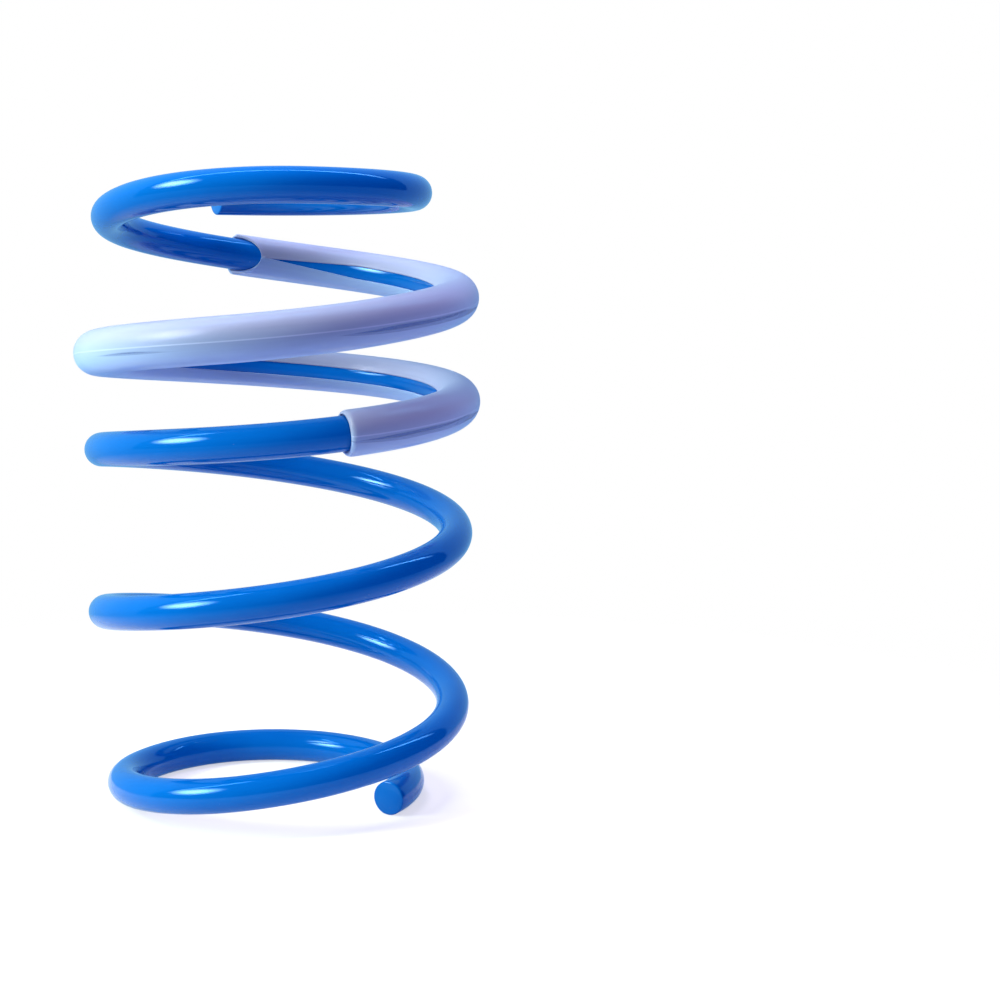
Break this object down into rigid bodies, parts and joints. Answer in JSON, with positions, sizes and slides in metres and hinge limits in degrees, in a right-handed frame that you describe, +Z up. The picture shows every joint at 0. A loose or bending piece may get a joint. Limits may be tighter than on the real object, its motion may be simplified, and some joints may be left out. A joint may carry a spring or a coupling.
{
  "type": "suspension coil spring",
  "caption": "Right-hand wound steel coil spring with pulled-in flat end coils, variable pitch, and a slit plastic sleeve on its close turns.",
  "frame": {"origin": "on the spring's axis, on the surface that the lower seat coil rests on", "axes": "+Z up along the spring's axis, from the lower seat to the upper one; -Y is the side that the lower wire end faces, with the end itself at +X -Y"},
  "size_m": [0.1554, 0.1554, 0.2404],
  "materials": {
    "blue_powder_coat": "gloss",
    "milky_sleeve": "satin"
  },
  "bodies": {
    "seat_coil": {"seat_coil": "blue_powder_coat"},
    "turn_1_front_left": {"turn_1_front_left": "blue_powder_coat"},
    "turn_1_front_right": {"turn_1_front_right": "blue_powder_coat"},
    "turn_1_back_right": {"turn_1_back_right": "blue_powder_coat"},
    "turn_1_back_left": {"turn_1_back_left": "blue_powder_coat"},
    "turn_2_front_left": {"turn_2_front_left": "blue_powder_coat"},
    "turn_2_front_right": {"turn_2_front_right": "blue_powder_coat"},
    "turn_2_back_right": {"turn_2_back_right": "blue_powder_coat"},
    "turn_2_back_left": {"turn_2_back_left": "blue_powder_coat"},
    "turn_3_front_left": {"turn_3_front_left": "blue_powder_coat"},
    "turn_3_front_right": {"turn_3_front_right": "blue_powder_coat", "sleeve_on_turn_3_front_right": "milky_sleeve"},
    "turn_3_back_right": {"turn_3_back_right": "blue_powder_coat", "sleeve_on_turn_3_back_right": "milky_sleeve"},
    "turn_3_back_left": {"turn_3_back_left": "blue_powder_coat", "sleeve_on_turn_3_back_left": "milky_sleeve"},
    "turn_4_front_left": {"turn_4_front_left": "blue_powder_coat", "sleeve_on_turn_4_front_left": "milky_sleeve"},
    "turn_4_front_right": {"turn_4_front_right": "blue_powder_coat", "sleeve_on_turn_4_front_right": "milky_sleeve"},
    "turn_4_back_right": {"turn_4_back_right": "blue_powder_coat", "sleeve_on_turn_4_back_right": "milky_sleeve"},
    "turn_4_back_left": {"turn_4_back_left": "blue_powder_coat", "sleeve_on_turn_4_back_left": "milky_sleeve"},
    "turn_5_front_left": {"turn_5_front_left": "blue_powder_coat"},
    "top_coil": {"top_coil": "blue_powder_coat"}
  },
  "joints": [
    {"name": "compression", "type": "slide", "parent": "seat_coil", "child": "top_coil", "axis": [0, 0, -1], "range_m": [0, 0.075], "stiffness_N_per_m": 27500},
    {"name": "settle_turn_1_front_left", "type": "slide", "parent": "seat_coil", "child": "turn_1_front_left", "axis": [0, 0, -1], "range_m": [0, 0.0024]},
    {"name": "settle_turn_1_front_right", "type": "slide", "parent": "seat_coil", "child": "turn_1_front_right", "axis": [0, 0, -1], "range_m": [0, 0.0068]},
    {"name": "settle_turn_1_back_right", "type": "slide", "parent": "seat_coil", "child": "turn_1_back_right", "axis": [0, 0, -1], "range_m": [0, 0.0112]},
    {"name": "settle_turn_1_back_left", "type": "slide", "parent": "seat_coil", "child": "turn_1_back_left", "axis": [0, 0, -1], "range_m": [0, 0.0156]},
    {"name": "settle_turn_2_front_left", "type": "slide", "parent": "seat_coil", "child": "turn_2_front_left", "axis": [0, 0, -1], "range_m": [0, 0.02]},
    {"name": "settle_turn_2_front_right", "type": "slide", "parent": "seat_coil", "child": "turn_2_front_right", "axis": [0, 0, -1], "range_m": [0, 0.0244]},
    {"name": "settle_turn_2_back_right", "type": "slide", "parent": "seat_coil", "child": "turn_2_back_right", "axis": [0, 0, -1], "range_m": [0, 0.0288]},
    {"name": "settle_turn_2_back_left", "type": "slide", "parent": "seat_coil", "child": "turn_2_back_left", "axis": [0, 0, -1], "range_m": [0, 0.0332]},
    {"name": "settle_turn_3_front_left", "type": "slide", "parent": "seat_coil", "child": "turn_3_front_left", "axis": [0, 0, -1], "range_m": [0, 0.0376]},
    {"name": "settle_turn_3_front_right", "type": "slide", "parent": "seat_coil", "child": "turn_3_front_right", "axis": [0, 0, -1], "range_m": [0, 0.0421]},
    {"name": "settle_turn_3_back_right", "type": "slide", "parent": "seat_coil", "child": "turn_3_back_right", "axis": [0, 0, -1], "range_m": [0, 0.0465]},
    {"name": "settle_turn_3_back_left", "type": "slide", "parent": "seat_coil", "child": "turn_3_back_left", "axis": [0, 0, -1], "range_m": [0, 0.0509]},
    {"name": "settle_turn_4_front_left", "type": "slide", "parent": "seat_coil", "child": "turn_4_front_left", "axis": [0, 0, -1], "range_m": [0, 0.0553]},
    {"name": "settle_turn_4_front_right", "type": "slide", "parent": "seat_coil", "child": "turn_4_front_right", "axis": [0, 0, -1], "range_m": [0, 0.0597]},
    {"name": "settle_turn_4_back_right", "type": "slide", "parent": "seat_coil", "child": "turn_4_back_right", "axis": [0, 0, -1], "range_m": [0, 0.0641]},
    {"name": "settle_turn_4_back_left", "type": "slide", "parent": "seat_coil", "child": "turn_4_back_left", "axis": [0, 0, -1], "range_m": [0, 0.0685]},
    {"name": "settle_turn_5_front_left", "type": "slide", "parent": "seat_coil", "child": "turn_5_front_left", "axis": [0, 0, -1], "range_m": [0, 0.0729]}
  ],
  "couplings": [
    {"joint": "settle_turn_1_front_left", "follows": "compression", "ratio": 0.029412},
    {"joint": "settle_turn_1_front_right", "follows": "compression", "ratio": 0.088235},
    {"joint": "settle_turn_1_back_right", "follows": "compression", "ratio": 0.14706},
    {"joint": "settle_turn_1_back_left", "follows": "compression", "ratio": 0.20588},
    {"joint": "settle_turn_2_front_left", "follows": "compression", "ratio": 0.26471},
    {"joint": "settle_turn_2_front_right", "follows": "compression", "ratio": 0.32353},
    {"joint": "settle_turn_2_back_right", "follows": "compression", "ratio": 0.38235},
    {"joint": "settle_turn_2_back_left", "follows": "compression", "ratio": 0.44118},
    {"joint": "settle_turn_3_front_left", "follows": "compression", "ratio": 0.5},
    {"joint": "settle_turn_3_front_right", "follows": "compression", "ratio": 0.55882},
    {"joint": "settle_turn_3_back_right", "follows": "compression", "ratio": 0.61765},
    {"joint": "settle_turn_3_back_left", "follows": "compression", "ratio": 0.67647},
    {"joint": "settle_turn_4_front_left", "follows": "compression", "ratio": 0.73529},
    {"joint": "settle_turn_4_front_right", "follows": "compression", "ratio": 0.79412},
    {"joint": "settle_turn_4_back_right", "follows": "compression", "ratio": 0.85294},
    {"joint": "settle_turn_4_back_left", "follows": "compression", "ratio": 0.91177},
    {"joint": "settle_turn_5_front_left", "follows": "compression", "ratio": 0.97059}
  ]
}
